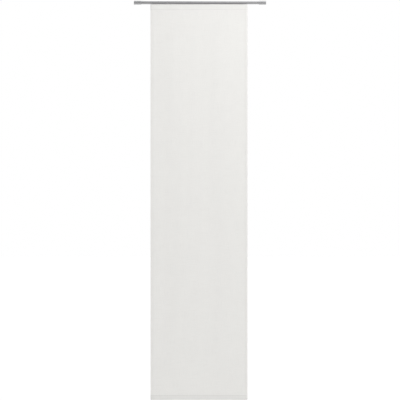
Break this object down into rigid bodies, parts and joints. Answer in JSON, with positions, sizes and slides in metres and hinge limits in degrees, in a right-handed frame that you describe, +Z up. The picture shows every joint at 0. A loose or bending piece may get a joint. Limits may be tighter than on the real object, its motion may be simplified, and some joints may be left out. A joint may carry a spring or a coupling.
{
  "type": "sliding panel curtain",
  "caption": "Flat cloth panel that slides on gliders in the running slot of a round rod with turned end caps, with a weight bar in its bottom hem.",
  "frame": {"origin": "centre of the flat land along the top of the rod, where the supports that carry it seat, midway along the rod", "axes": "+X to the right along the rod as seen from the room, +Y to the back towards the window, +Z up; the panel hangs down along -Z"},
  "size_m": [0.8186, 0.024, 2.4726],
  "materials": {
    "silver_rod": "satin",
    "anodised_metal": "satin",
    "steel_screw": "satin",
    "white_plastic": "satin",
    "fastening_tape": "matte",
    "panel_cloth": "matte"
  },
  "bodies": {
    "rod_set": {"rod": "silver_rod", "end_cap_left": "silver_rod", "end_cap_right": "silver_rod", "cap_plug_left": "white_plastic", "cap_plug_right": "white_plastic", "cap_screw_left": "steel_screw", "cap_screw_right": "steel_screw", "end_stop_left": "white_plastic", "end_stop_right": "white_plastic", "stop_screw_left": "steel_screw", "stop_screw_right": "steel_screw"},
    "panel": {"glider_1": "white_plastic", "glider_2": "white_plastic", "glider_3": "white_plastic", "glider_4": "white_plastic", "carrier": "anodised_metal", "carrier_end_left": "white_plastic", "carrier_end_right": "white_plastic", "hook_tape": "fastening_tape", "loop_tape": "fastening_tape", "panel_cloth": "panel_cloth", "weight_bar": "anodised_metal", "bar_plug_left": "white_plastic", "bar_plug_right": "white_plastic"}
  },
  "joints": [
    {"name": "panel_slide", "type": "slide", "parent": "rod_set", "child": "panel", "axis": [1, 0, 0], "range_m": [-0.054, 0.066]}
  ]
}
